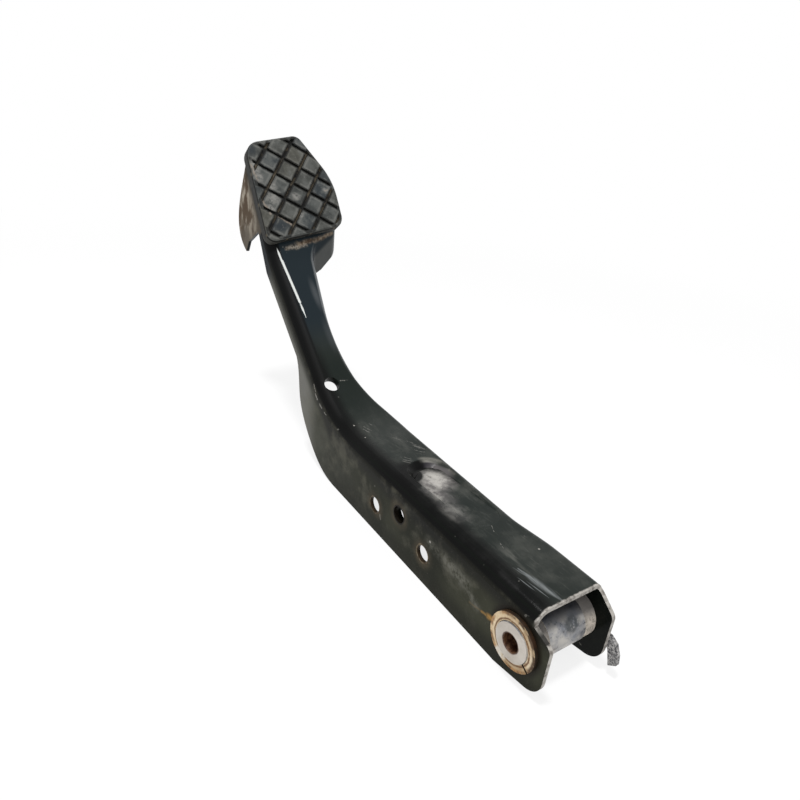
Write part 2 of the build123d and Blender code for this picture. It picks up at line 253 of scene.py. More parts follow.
# Light scratches and scuffs: start, end, width, share
SCRATCHES = (
    ((122.9, -11.6, WEB), (118.6, -15.0, 20.7), 0.55, 1.0),
    ((121.4, -11.0, WEB), (117.0, -14.6, 20.8), 0.45, 1.0),
    ((119.9, -11.4, WEB), (115.2, -14.9, 20.8), 0.6, 1.0),
    ((118.2, -11.8, WEB), (113.6, -15.3, 20.7), 0.45, 1.0),
    ((127.0, -10.2, WEB), (123.4, -12.6, WEB), 0.4, 1.0),
    ((116.5, -9.0, WEB), (112.5, -12.2, WEB), 0.4, 1.0),
    ((110.4, 2.4, WEB), (107.6, -0.6, WEB), 0.5, 1.0),
    ((109.4, 3.6, WEB), (106.1, 0.8, WEB), 0.5, 1.0),
    ((112.5, 0.5, WEB), (109.3, -1.6, WEB), 0.4, 1.0),
    ((149.6, 4.7, 22.0), (144.5, 2.3, 21.4), 0.6, 1.0),
    ((147.6, 6.2, 21.8), (143.5, 4.3, 21.3), 0.45, 1.0),
    ((153.4, 1.2, 22.6), (149.0, -0.8, 22.0), 0.4, 1.0),
    ((133.5, -5.5, WEB), (129.0, -8.0, WEB), 0.5, 1.0),
    ((183.6, 2.6, 36.6), (183.2, -0.4, 36.3), 1.1, 1.0),
    ((183.4, -0.6, 36.4), (183.0, -5.0, 36.1), 0.5, 1.0),
    ((174.2, 12.0, 28.6), (175.4, 8.4, 29.6), 0.4, 1.0),
    ((175.4, 8.4, 29.6), (176.9, 4.4, 30.9), 0.4, 1.0),
    ((188.8, 17.7, 34.4), (185.9, HALF_WIDTH, 30.8), 1.0, 1.0),
    ((185.6, HALF_WIDTH, 29.2), (183.4, HALF_WIDTH, 27.0), 2.4, 1.0),
    ((179.6, HALF_WIDTH, 25.1), (177.2, HALF_WIDTH, 24.0), 2.0, 1.0),
    ((173.9, HALF_WIDTH, 22.7), (171.0, HALF_WIDTH, 21.9), 1.0, 1.0),
    ((32.5, 2.0, WEB), (29.0, 3.0, WEB), 0.5, 1.0),
    ((44.0, -3.0, WEB), (40.0, -1.0, WEB), 0.35, 1.0),
)
# Single light specks: centre, radius
SPECKS = (
    ((96.0, 15.5, 20.3), 0.7),
    ((47.3, 16.2, 19.4), 0.7),
    ((20.5, 15.5, 20.2), 0.6),
    ((21.2, -11.3, WEB), 0.7),
    ((139.5, 9.3, WEB), 0.6),
    ((61.4, HALF_WIDTH, 6.4), 0.9),
    ((152.0, 9.6, 22.6), 0.7),
)
# Painted highlights along the dished press mark at the pivot end of the web: start, end, width, taper
PRESS_HIGHLIGHT_LINES = (
    ((17.5, 8.0, WEB), (6.4, 5.0, WEB), 1.5, 0.4),
    ((8.4, 5.5, WEB), (-7.5, 3.4, WEB), 2.6, 0.4),
    ((16.0, 6.4, WEB), (-8.0, 3.2, WEB), 5.0, 0.4),
    ((9.0, 8.6, WEB), (-3.0, 7.2, WEB), 0.9, 0.4),
    ((12.0, 10.4, WEB), (2.0, 9.4, WEB), 0.8, 0.4),
)
# Painted highlight along the start of the left fold of the neck: start, end, width, taper
NECK_HIGHLIGHT_LINES = (
    ((257.8, 12.7, 101.0), (249.4, 11.4, 91.8), 2.4, 0.35),
    ((252.0, 11.5, 94.0), (227.9, 9.8, 73.8), 2.8, 0.0),
    ((229.4, 9.9, 75.2), (219.0, 9.4, 66.3), 2.3, 0.55),
)
# Places on the arm: centre, radii, softness, and a share where there are several
# Painted sheen on the web of the neck
NECK_PAINTED_SHEEN = (
    ((232, -3.0, 76), (17, 3.5, 16), 0.9, 1.0),
    ((208, -2, 57), (18, 4, 16), 0.9, 0.5),
)
SCUFFS = (
    ((146, 3, 21.5), (13, 9, 5), 0.8, 0.6),
    ((126, -6, 21), (11, 7, 4), 0.8, 0.6),
    ((68, -12, 21), (16, 7, 4), 0.8, 1.0),
    ((20, 3, 21), (18, 10, 4), 0.9, 1.0),
)
RECESS = ((74, -4, 19), (37, 14.5, 8), 0.12)
RECESS_SHADE = (
    ((101, 5, 19.5), (11, 9, 6), 0.55, 1.0),
    ((94, 10, 20), (14, 7, 6), 0.7, 1.0),
)
RECESS_RIM_SHADE = ((104.5, -3, 19), (5, 7, 4), 0.6)
RECESS_WORN = (
    ((89, -4.0, 18.5), (15, 12.5, 6), 0.75, 1.0),
    ((80, 3, 19.5), (18, 10, 6), 0.9, 0.75),
    ((63, 5, 20.5), (16, 9, 6), 0.9, 0.32),
)
# Lines on the arm: start, end, width, share
# Painted highlight along the soft jog of the left flange, speckled by noise
JOG_HIGHLIGHT_LINES = (
    ((62, HALF_WIDTH, 5.5), (46, HALF_WIDTH, 4.6), 11.0, 0.6),
    ((48.0, HALF_WIDTH, 4.6), (33.0, HALF_WIDTH, 3.0), 13.0, 1.0),
    ((35.0, HALF_WIDTH, 3.0), (25.0, HALF_WIDTH, -2.4), 9.0, 0.8),
)
RUBBED_STRIP = (((257.6, 6.0, 100.9), (258.6, -8.0, 102.4), 5.5, 1.0),)
RUSTY_STRIP = (
    ((258.8, -3.0, 103.2), (261.2, -19.9, 105.4), 5.0, 1.0),
    ((261.2, -19.9, 105.4), (266.1, -31.4, 108.1), 5.0, 1.0),
)
RUST_STREAK = (
    ((12.0, HALF_WIDTH, -0.2), (16.6, HALF_WIDTH, -1.6), 4.6, 1.0),
    ((15.5, HALF_WIDTH, -1.3), (21.0, HALF_WIDTH, -2.6), 2.4, 0.6),
    ((19.5, HALF_WIDTH, -2.2), (29.0, HALF_WIDTH, -4.0), 1.8, 0.12),
)

# Ranges over which a look fades in: along the arm (x), across it (y), up (z) or below the web of the neck
BEND_FROM_X, BEND_UNTIL_X = (150, 172), (212, 190)
NECK_X, NECK_SOFT = (208, 300), 12
RIGHT_TURN_X, RIGHT_TURN_SOFT = (196, 258), 16
RIGHT_TURN_Y = (-3.0, -5.0)
DUSTY_X, BRUSHED_X = (180, 120), (185, 120)
FOLD_Y, FOLD_NECK_X = (2.0, 6.0), (185, 215)
FOLD_WEB_Y, FOLD_NECK_Y = (4.5, 11.5), (10.2, 11.6)
HOLLOW_X, HOLLOW_Y, HOLLOW_Z = (160, 140), (16.7, 16.3), (19.3, 18.8)
FLANK_X, FLANK_Y = (262, 250), (9.0, 12.0)
LOWER_FLANK_X, LOWER_FLANK_Y = (130, 125), (HALF_WIDTH - 3.0, HALF_WIDTH - 2.5)
PALE_X, PALE_Z = (112, 175), (-40, -12)
FREE_EDGE_X, FREE_EDGE_BELOW = (180, 200), (-6.0, -16.0)
UNDER_FOLD_X, UNDER_FOLD_Z, UNDER_FOLD_BELOW = (150, 175), (4.0, 13.5), (-13.0, -6.0)
BLOTCH_X = (215, 190)
FOOT_X, FOOT_Z = (172, 150), (-6.0, -16.0)
SLOPES_X, FAR_SLOPE_X = (84, 92), (84, 93)
SLOPE_SHADE_X, SLOPE_LIGHT_Z = (104.5, 99), (19.5, 20.2)
RIM_REACH, RIM_SOFT, RIM_SHADE_REACH = (14.0, 16.4), 1.4, (15.0, 13.6)
RIM_X, RIM_Y = (90, 100), (-4.0, -8.0)
WING_X, WING_Y, WING_UP = (262, 266), (13, 15), (-27.5, -25.5)
WING_FRONT_GAP, WING_BACK_GAP = (-20.0, -10.0), (-30.0, -36.0)
WING_BACK_UP, WING_LOW_UP = (-6.0, -15.0), (-4.0, -24.0)
LOBE_X, LOBE_Y, LOBE_GAP = (247, 251), (-11.0, -14.0), (-9.0, -11.5)
END_X, LIP_X, LIP_Z = (0, -3), (-6.3, -7.0), (12, 15)
MATT_FOLD_X = (150, 170)
# Distances from the axis of a hole or of the bush over which a look fades in
HOLE_STAIN_REACH, HOLE_LIP_REACH = (10.0, 4.6), (5.5, 4.7)
HOLE_WALL_REACH, HOLE_THROAT_REACH = (4.75, 4.6), (5.6, 4.9)
BUSH_SHADOW_REACH = (16.5, 13.4)
# Ranges of the upward part of the normal that tell the slopes of the recess from its floor
TILTED, LEVEL = (0.985, 0.93), (0.6, 0.8)

# Noise: size, detail, roughness, seed, and stretch where it is drawn out
ARM_NOISES = dict(
    big=(42, 3, 0.5, 1.0),
    mid=(11, 5, 0.62, 2.0),
    fine=(2.4, 4, 0.6, 3.0),
    grit=(0.9, 3, 0.6, 4.0),
    drawn=(3.5, 5, 0.65, 5.0, (0.22, 1.0, 1.0)),
    patchy=(3.2, 4, 0.7, 8.0),
    blotchy=(16, 5, 0.65, 9.0),
    pressed=(0.9, 4, 0.6, 13.0, (0.12, 1, 1)),
    dotted=(3.1, 1, 0.5, 14.0),
    stained=(15, 4, 0.6, 16.0, (1.0, 1.0, 0.6)),
    streaked=(5, 4, 0.6, 20.0, (1.0, 1.0, 0.4)),
    rubbed=(2.6, 5, 0.7, 23.0, (0.35, 1.0, 1.0)),
    brushed=(1.4, 4, 0.65, 25.0, (0.15, 1.0, 1.0)),
)
# Wobbled coordinates: size, reach, seed
WORN_WOBBLE = (9, 4.0, 11.0)
SCRATCH_WOBBLE = (2.6, 0.3, 12.0)
STRIP_WOBBLE = (4, 1.8, 15.0)
HOLE_WOBBLE = (4, 0.8, 17.0)
STREAK_WOBBLE = (3, 0.7, 18.0)
EDGE_WOBBLE = (1.8, 0.8, 19.0)

# ---------------------------------------------------------------- tones of the arm
BARE_METAL = (0.40, 0.38, 0.35)
BLACK = (0.003, 0.003, 0.003)

# Mottled tones: range of the noise, tone below it, tone above it
WEB_MOTTLE = (0.35, 0.7, (0.0125, 0.0165, 0.0145), (0.0255, 0.0295, 0.0265))
OLIVE_MOTTLE = (0.36, 0.66, (0.010, 0.011, 0.006), (0.034, 0.035, 0.022))
PALE_MOTTLE = (0.3, 0.7, (0.036, 0.037, 0.028), (0.082, 0.082, 0.066))
# Painted highlight along the top of the far slope of the recess
SLOPE_HIGHLIGHT_MOTTLE = (0.4, 0.6, (0.09, 0.086, 0.078), (0.27, 0.26, 0.235))
WORN_MOTTLE = (0.4, 0.6, (0.15, 0.14, 0.138), (0.48, 0.46, 0.43))
RUBBED_MOTTLE = (0.4, 0.6, (0.08, 0.065, 0.05), (0.28, 0.25, 0.21))
RUSTY_MOTTLE = (0.38, 0.6, (0.075, 0.048, 0.03), (0.24, 0.19, 0.14))
DUST_MOTTLE = (0.36, 0.62, (0.36, 0.32, 0.26), (0.15, 0.125, 0.095))
LOBE_MOTTLE = (0.35, 0.7, (0.012, 0.014, 0.014), (0.024, 0.026, 0.025))
LIP_MOTTLE = (0.4, 0.62, (0.20, 0.155, 0.10), (0.05, 0.03, 0.016))
EDGE_MOTTLE = (0.45, 0.66, BARE_METAL, (0.17, 0.155, 0.14))

# Layers: tone and strength
# Painted darker reflection on the web towards the bend
BEND_DARK_REFLECTION = ((0.011, 0.015, 0.013), 0.75)
# Painted blue-grey reflection on the web of the neck
NECK_BLUE_REFLECTION = ((0.012, 0.0185, 0.0235), 0.9)
PAINTED_SHEEN_TONE = ((0.085, 0.092, 0.098), 0.55)
# Painted highlight on the right fold of the neck
RIGHT_FOLD_HIGHLIGHT = ((0.15, 0.16, 0.165), 0.8)
WEB_DUST = ((0.070, 0.072, 0.064), 0.5)
BRUSHED_DUST = ((0.11, 0.114, 0.102), 0.4)
SCUFFED = ((0.12, 0.12, 0.108), 0.65)
FOLD_DARK_REFLECTION = (BLACK, 0.96)
HOLLOW_SHADE = ((0.004, 0.005, 0.004), 1.0)
UNDERSIDE_SHADE = ((0.012, 0.012, 0.011), 0.6)
FREE_EDGE = ((0.15, 0.148, 0.135), 0.85)
# Painted shade on the flange under the left fold
UNDER_FOLD_SHADE = ((0.007, 0.007, 0.006), 0.85)
BLOTCH = ((0.096, 0.092, 0.070), 0.45)
FOOT_SHADE = ((0.009, 0.0095, 0.005), 0.8)
# Painted highlight on the jog of the left flange
JOG_HIGHLIGHT_TONE = ((0.13, 0.127, 0.107), 0.8)
GRITTY = ((0.14, 0.13, 0.11), 0.35)
# Painted shade on the slopes of the recess and by its round end
RECESS_PAINTED_SHADE = (BLACK, 0.93)
# Painted highlight on the rim at the round end of the recess
RECESS_RIM_HIGHLIGHT = ((0.22, 0.21, 0.185), 0.6)
SCRATCHED = (BARE_METAL, 0.7)
NECK_HIGHLIGHT_TONE = ((0.66, 0.68, 0.66), 0.95)
PRESS_HIGHLIGHT_TONE = ((0.27, 0.285, 0.29), 0.62)
DOTS = ((0.22, 0.21, 0.19), 0.45)
WING_STAIN = ((0.070, 0.046, 0.028), 0.95)
WING_FRONT = ((0.030, 0.025, 0.019), 0.92)
WING_BACK = ((0.085, 0.070, 0.055), 0.8)
WING_LOW = ((0.095, 0.082, 0.064), 0.6)
LOBE_HIGHLIGHT = ((0.20, 0.205, 0.20), 0.3)
HOLE_STAIN = ((0.085, 0.066, 0.042), 0.5)
HOLE_WALL = ((0.035, 0.025, 0.016), 1.0)
HOLE_THROAT_SHADE = ((0.006, 0.005, 0.004), 0.9)
BUSH_SHADOW = ((0.010, 0.007, 0.005), 0.75)
STREAK = ((0.34, 0.19, 0.055), 1.0)
# Other strengths
TOWARD_BEND_STRENGTH = 0.52
FAR_SLOPE_STRENGTH = 0.9
WORN_STRENGTH = 0.92
RUBBED_STRENGTH = 0.8
RUSTY_STRENGTH = 0.85
LIP_STRENGTH = 0.7
# Far slope of the recess: tone in its shade and beside it
SLOPE_SHADE = (0.030, 0.028, 0.034)
SLOPE_OPEN = (0.12, 0.112, 0.112)
WORN_GRIT = (0.07, 0.065, 0.068)
# Gloss: range of the noise with the roughness at its ends, roughness of the dull places, specular level
ARM_ROUGHNESS = (0.3, 0.75, 0.16, 0.28)
MATT_ROUGHNESS, DULL_ROUGHNESS = 0.5, 0.62
ARM_SPECULAR = 0.06
# Relief: shares of the fine and the middle noise, depth of scratches and worn floor, height in mm, strength
FINE_RELIEF, MID_RELIEF = 0.35, 0.65
SCRATCH_DEPTH, WORN_HEIGHT = 0.5, 0.5
ARM_RELIEF = (0.35, 0.35)


# ---------------------------------------------------------------- the painted arm
def arm_surface(n):
    """What the layers of the arm share: place, normal, noise and main zones at each point."""
    at = n.coords()
    x, y, z = n.parts(at)
    nx, ny, nz = n.normal_parts()
    from_tread = n.vec("SUBTRACT", at, PAD_ORIGIN)
    return SimpleNamespace(
        at=at, x=x, y=y, z=z, nx=nx, ny=ny, nz=nz,
        noise=SimpleNamespace(**{name: n.noise(*settings) for name, settings in ARM_NOISES.items()}),
        upward=n.ramp(nz, 0.25, 0.45),
        flank=n.times(n.ramp(ny, 0.9, 0.985), n.ramp(y, *FLANK_Y)),
        lower_flank=n.times(n.ramp(y, *LOWER_FLANK_Y), n.ramp(x, *LOWER_FLANK_X)),
        under_web=n.vec("DOT_PRODUCT", n.vec("SUBTRACT", at, NECK_ORIGIN), NECK_NORMAL),
        plate_up=n.vec("DOT_PRODUCT", from_tread, PAD_UP),
        plate_gap=n.vec("DOT_PRODUCT", from_tread, PAD_NORMAL),
    )


def web_paint(n, s):
    """Neutral black along the channel, with a painted darker reflection towards the bend; blue black on the neck as
    a painted reflection, with a painted sheen and a painted highlight where its web turns down on the right. Also
    gives the dusty and scuffed shares.
    """
    paint = n.mottle(s.noise.big, *WEB_MOTTLE)
    # Painted darker reflection towards the bend
    paint = n.cover(paint, *BEND_DARK_REFLECTION, n.ramp(s.x, *BEND_FROM_X), n.ramp(s.x, *BEND_UNTIL_X))
    # Painted blue-grey reflection on the web of the neck
    paint = n.cover(paint, *NECK_BLUE_REFLECTION, n.band(s.x, *NECK_X, NECK_SOFT))
    # Painted sheen on the web of the neck
    paint = n.cover(paint, *PAINTED_SHEEN_TONE, n.blobs(NECK_PAINTED_SHEEN), s.upward)
    # Painted highlight where the web of the neck turns down on its right edge
    turned_right = n.times(n.ramp(s.ny, -0.12, -0.45), n.ramp(s.ny, -0.97, -0.75), n.ramp(s.y, *RIGHT_TURN_Y))
    paint = n.cover(paint, *RIGHT_FOLD_HIGHLIGHT, turned_right, s.upward, n.band(s.x, *RIGHT_TURN_X, RIGHT_TURN_SOFT))
    dusty = n.times(n.ramp(s.noise.mid, 0.42, 0.75), n.ramp(s.x, *DUSTY_X), s.upward)
    paint = n.cover(paint, *WEB_DUST, dusty)
    brushed = n.ramp(s.noise.brushed, 0.55, 0.75)
    paint = n.cover(paint, *BRUSHED_DUST, brushed, n.ramp(s.x, *BRUSHED_X), s.upward)
    scuffed = n.blobs(SCUFFS)
    paint = n.cover(paint, *SCUFFED, scuffed, n.ramp(s.noise.drawn, 0.42, 0.7), s.upward)
    return paint, dusty, scuffed


def fold_share(n, s):
    """Share of the rounded left fold, with the part of the web beside it."""
    turned_left = n.times(n.ramp(s.ny, 0.02, 0.35), n.ramp(s.nz, -0.1, 0.1), n.ramp(s.y, *FOLD_Y))
    on_neck = n.ramp(s.x, *FOLD_NECK_X)
    beside = n.mixf(on_neck, n.ramp(s.y, *FOLD_WEB_Y), n.ramp(s.y, *FOLD_NECK_Y))
    return n.most(turned_left, n.times(beside, s.upward, 0.9))


def painted_dark_sides(n, s, paint, fold):
    """Painted dark reflection makes the left fold and the web beside it nearly black; painted shade does the same
    on the hollow side of the right flange and on the inside, where the faces look down.
    """
    # Painted dark reflection on the left fold
    paint = n.cover(paint, *FOLD_DARK_REFLECTION, fold)
    # Painted shade on the hollow side of the right flange
    hollow = n.times(n.ramp(s.z, *HOLLOW_Z), n.ramp(s.y, *HOLLOW_Y), n.ramp(s.x, *HOLLOW_X))
    paint = n.cover(paint, *HOLLOW_SHADE, hollow, n.ramp(s.ny, -0.4, -0.1))
    # Painted shade on the faces that look down, inside the channel
    return n.cover(paint, *UNDERSIDE_SHADE, n.ramp(s.nz, -0.1, -0.4))


def flank_paint(n, s):
    """Left flange: olive grey, mottled, paler towards the bend and the free edge of the neck, with painted shade
    under the fold and along its foot, and a painted highlight along its jog.
    """
    olive = n.mottle(s.noise.big, *OLIVE_MOTTLE)
    toward_bend = n.times(n.ramp(s.x, *PALE_X), n.ramp(s.z, *PALE_Z))
    olive = n.cover(olive, n.mottle(s.noise.mid, *PALE_MOTTLE), TOWARD_BEND_STRENGTH, toward_bend)
    olive = n.cover(olive, *FREE_EDGE, n.ramp(s.x, *FREE_EDGE_X), n.ramp(s.under_web, *FREE_EDGE_BELOW))
    # Painted shade on the flange under the left fold
    past_bend = n.ramp(s.x, *UNDER_FOLD_X)
    under_fold_shade = n.mixf(past_bend, n.ramp(s.z, *UNDER_FOLD_Z), n.ramp(s.under_web, *UNDER_FOLD_BELOW))
    olive = n.cover(olive, *UNDER_FOLD_SHADE, under_fold_shade)
    olive = n.cover(olive, *BLOTCH, n.ramp(s.noise.blotchy, 0.5, 0.68), n.ramp(s.x, *BLOTCH_X))
    olive = n.cover(olive, *FOOT_SHADE, n.ramp(s.z, *FOOT_Z), n.ramp(s.x, *FOOT_X))
    # Painted highlight along the jog of the flange
    olive = n.cover(olive, *JOG_HIGHLIGHT_TONE, n.strokes(JOG_HIGHLIGHT_LINES), n.ramp(s.noise.patchy, 0.36, 0.62))
    return n.cover(olive, *GRITTY, n.ramp(s.noise.grit, 0.62, 0.75))


def recess_look(n, s, colour):
    """Pressed recess: painted shade on its slopes and by its round end, painted shade and a painted highlight on
    its far slope, a worn floor, and a painted highlight on the rim at its round end. Also gives the worn share.
    """
    from_end = n.vec("MULTIPLY", n.vec("SUBTRACT", s.at, RECESS_END), RECESS_FLATTEN)
    reach = n.vec("LENGTH", from_end)
    tilted = n.times(n.blob(*RECESS), n.ramp(s.nz, *TILTED))
    slopes = n.times(tilted, s.upward, n.ramp(s.ny, 0.0, -0.1), n.ramp(s.x, *SLOPES_X))
    rim_shade = n.times(n.blob(*RECESS_RIM_SHADE), n.ramp(reach, *RIM_SHADE_REACH))
    shade = n.most(n.blobs(RECESS_SHADE), rim_shade)
    # Painted shade on the slopes of the recess and by its round end
    colour = n.cover(colour, *RECESS_PAINTED_SHADE, n.most(slopes, n.times(shade, s.upward)))

    # Far slope: painted shade towards its round end, painted highlight along its top
    shaded = n.mix(n.ramp(s.x, *SLOPE_SHADE_X), SLOPE_SHADE, SLOPE_OPEN)
    slope_light_and_shade = n.mix(n.ramp(s.z, *SLOPE_LIGHT_Z), shaded, n.mottle(s.noise.mid, *SLOPE_HIGHLIGHT_MOTTLE))
    far_slope = n.times(tilted, n.ramp(s.ny, 0.05, 0.3), n.ramp(s.x, *FAR_SLOPE_X))
    colour = n.cover(colour, slope_light_and_shade, FAR_SLOPE_STRENGTH, far_slope)

    rubs = n.ramp(s.noise.rubbed, 0.24, 0.46)
    level = n.times(n.ramp(s.nz, *LEVEL), n.ramp(s.ny, 0.3, 0.1))
    worn = n.times(n.blobs(RECESS_WORN, n.wobble(*WORN_WOBBLE)), level, rubs, n.ramp(shade, 0.5, 0.1))
    worn_tone = n.mix(n.ramp(s.noise.grit, 0.6, 0.72), n.mottle(s.noise.mid, *WORN_MOTTLE), WORN_GRIT)
    colour = n.cover(colour, worn_tone, WORN_STRENGTH, worn)

    # Painted highlight on the rim at the round end of the recess
    rim = n.times(n.band(reach, *RIM_REACH, RIM_SOFT), n.ramp(s.x, *RIM_X), n.ramp(s.y, *RIM_Y))
    return n.cover(colour, *RECESS_RIM_HIGHLIGHT, rim, n.ramp(s.noise.mid, 0.25, 0.5), s.upward), worn


def light_marks(n, s, colour):
    """Scratches, specks, the painted highlight on the neck and the painted highlights on the press marks. Also
    gives the scratched share.
    """
    scratched = n.strokes(SCRATCHES, n.wobble(*SCRATCH_WOBBLE))
    speckled = n.most(*(n.blob(centre, (radius,) * 3, 0.6) for centre, radius in SPECKS))
    colour = n.cover(colour, *SCRATCHED, n.most(n.times(scratched, n.ramp(s.noise.grit, 0.3, 0.6)), speckled))
    # Painted highlight along the start of the left fold of the neck
    gleam = n.most(*(n.stroke(start, end, width, taper=taper) for start, end, width, taper in NECK_HIGHLIGHT_LINES))
    colour = n.cover(colour, *NECK_HIGHLIGHT_TONE, n.ramp(gleam, 0.1, 0.7))
    # Painted highlights along the dished press mark
    pressed = n.most(*(n.stroke(start, end, width, taper=taper) for start, end, width, taper in PRESS_HIGHLIGHT_LINES))
    colour = n.cover(colour, *PRESS_HIGHLIGHT_TONE, pressed, n.ramp(s.noise.pressed, 0.28, 0.62), s.upward)
    dots = n.ramp(s.noise.dotted, 0.74, 0.78)
    return n.cover(colour, *DOTS, dots, n.ramp(s.noise.mid, 0.4, 0.6)), scratched


def strip_below_pad(n, s, colour):
    """Rubbed and rusty strip of the web just below the pad. Also gives its share."""
    at = n.wobble(*STRIP_WOBBLE)
    rubbed = n.times(n.strokes(RUBBED_STRIP, at), n.ramp(s.noise.fine, 0.22, 0.42))
    colour = n.cover(colour, n.mottle(s.noise.grit, *RUBBED_MOTTLE), RUBBED_STRENGTH, rubbed)
    rusty = n.strokes(RUSTY_STRIP, at)
    rusty_tone = n.mottle(s.noise.fine, *RUSTY_MOTTLE)
    colour = n.cover(colour, rusty_tone, RUSTY_STRENGTH, rusty, n.ramp(s.noise.mid, 0.22, 0.42))
    return colour, n.most(rubbed, rusty)


def wing_and_lobe(n, s, colour):
    """Wing left of the pad: dust with brown stains. Lobe right of it: dull grey, with a painted highlight where it
    turns to face left. Also gives the wing's share.
    """
    on_left_side = n.times(n.ramp(s.ny, 0.6, 0.9), n.ramp(s.y, *WING_Y))
    wing = n.times(n.ramp(s.plate_up, *WING_UP), on_left_side, n.ramp(s.x, *WING_X))
    dust = n.mottle(s.noise.streaked, *DUST_MOTTLE)
    dust = n.cover(dust, *WING_STAIN, n.ramp(s.noise.stained, 0.47, 0.55), n.ramp(s.noise.streaked, 0.3, 0.45))
    dust = n.cover(dust, *WING_FRONT, n.ramp(s.plate_gap, *WING_FRONT_GAP))
    dust = n.cover(dust, *WING_BACK, n.ramp(s.plate_gap, *WING_BACK_GAP), n.ramp(s.plate_up, *WING_BACK_UP))
    dust = n.cover(dust, *WING_LOW, n.ramp(s.plate_up, *WING_LOW_UP))
    colour = n.mix(wing, colour, dust)

    behind_pad = n.times(n.ramp(s.y, *LOBE_Y), n.ramp(s.plate_gap, *LOBE_GAP))
    lobe = n.times(behind_pad, n.ramp(s.x, *LOBE_X), n.ramp(s.nz, 0.7, 0.5))
    colour = n.mix(lobe, colour, n.mottle(s.noise.mid, *LOBE_MOTTLE))
    # Painted highlight where the lobe turns to face left
    return n.cover(colour, *LOBE_HIGHLIGHT, lobe, n.ramp(s.nx, -0.45, -0.85)), wing


def rust_and_painted_shade(n, s, colour):
    """Rust round the link holes and in a streak beside the bush, painted shade in the middle hole and painted
    shadow round the bush.
    """
    at = n.wobble(*HOLE_WOBBLE)
    near, middle, far = (n.off_axis(at, hole_x, hole_z) for hole_x, hole_z in LINK_HOLES)
    for away in (near, middle, far):
        stained = n.times(n.ramp(away, *HOLE_STAIN_REACH), s.lower_flank)
        colour = n.cover(colour, *HOLE_STAIN, stained, n.ramp(s.noise.mid, 0.3, 0.6))
    lips = n.most(n.ramp(near, *HOLE_LIP_REACH), n.ramp(far, *HOLE_LIP_REACH))
    lip_tone = n.mottle(s.noise.fine, *LIP_MOTTLE)
    colour = n.cover(colour, lip_tone, LIP_STRENGTH, lips, s.lower_flank, n.ramp(s.noise.mid, 0.3, 0.5))
    in_hole = n.most(n.ramp(near, *HOLE_WALL_REACH), n.ramp(far, *HOLE_WALL_REACH))
    colour = n.cover(colour, *HOLE_WALL, in_hole, n.ramp(n.size(s.ny), 0.7, 0.4), s.lower_flank)
    # Painted shade in the throat of the middle hole
    colour = n.cover(colour, *HOLE_THROAT_SHADE, n.ramp(middle, *HOLE_THROAT_REACH), s.lower_flank)
    # Painted shadow on the flange round the bush
    colour = n.cover(colour, *BUSH_SHADOW, n.ramp(n.off_axis(s.at), *BUSH_SHADOW_REACH), s.lower_flank)
    streak = n.strokes(RUST_STREAK, n.wobble(*STREAK_WOBBLE))
    return n.cover(colour, *STREAK, streak, s.lower_flank, n.ramp(s.noise.fine, 0.2, 0.45))


def cut_edges(n, s, colour):
    """Cut edges of the sheet at the open end are bare metal. Also gives their share."""
    edge_x = n.parts(n.wobble(*EDGE_WOBBLE))[0]
    cut = n.times(n.ramp(s.nx, -0.3, -0.5), n.ramp(s.x, *END_X))
    lip = n.times(n.ramp(edge_x, *LIP_X), n.ramp(s.z, *LIP_Z), n.ramp(s.nz, 0.1, 0.4))
    bare = n.most(cut, lip)
    return n.mix(n.times(bare, n.ramp(s.noise.mid, 0.12, 0.34)), colour, n.mottle(s.noise.fine, *EDGE_MOTTLE)), bare


def arm_material():
    made, n, shader = material("arm_paint")
    s = arm_surface(n)
    paint, dusty, scuffed = web_paint(n, s)
    fold = fold_share(n, s)
    paint = painted_dark_sides(n, s, paint, fold)
    colour = n.mix(n.times(s.flank, n.ramp(s.x, *FLANK_X)), paint, flank_paint(n, s))
    colour, worn = recess_look(n, s, colour)
    colour, scratched = light_marks(n, s, colour)
    colour, strip = strip_below_pad(n, s, colour)
    colour, wing = wing_and_lobe(n, s, colour)
    colour = rust_and_painted_shade(n, s, colour)
    colour, bare = cut_edges(n, s, colour)
    n.put(shader.inputs["Base Color"], colour)

    rough = n.ramp(s.noise.mid, *ARM_ROUGHNESS)
    rough = n.mixf(n.times(s.flank, 0.8), rough, MATT_ROUGHNESS)
    rough = n.mixf(n.times(fold, n.ramp(s.x, *MATT_FOLD_X)), rough, MATT_ROUGHNESS)
    dull = n.most(worn, bare, wing, n.times(dusty, 0.5), n.times(scuffed, 0.5), strip)
    n.put(shader.inputs["Roughness"], n.mixf(dull, rough, DULL_ROUGHNESS))
    shader.inputs["Specular IOR Level"].default_value = ARM_SPECULAR
    relief = n.math("ADD", n.times(s.noise.fine, FINE_RELIEF), n.times(s.noise.mid, MID_RELIEF))
    relief = n.math("SUBTRACT", n.mixf(worn, relief, WORN_HEIGHT), n.times(scratched, SCRATCH_DEPTH))
    n.emboss(shader, relief, *ARM_RELIEF)
    return made


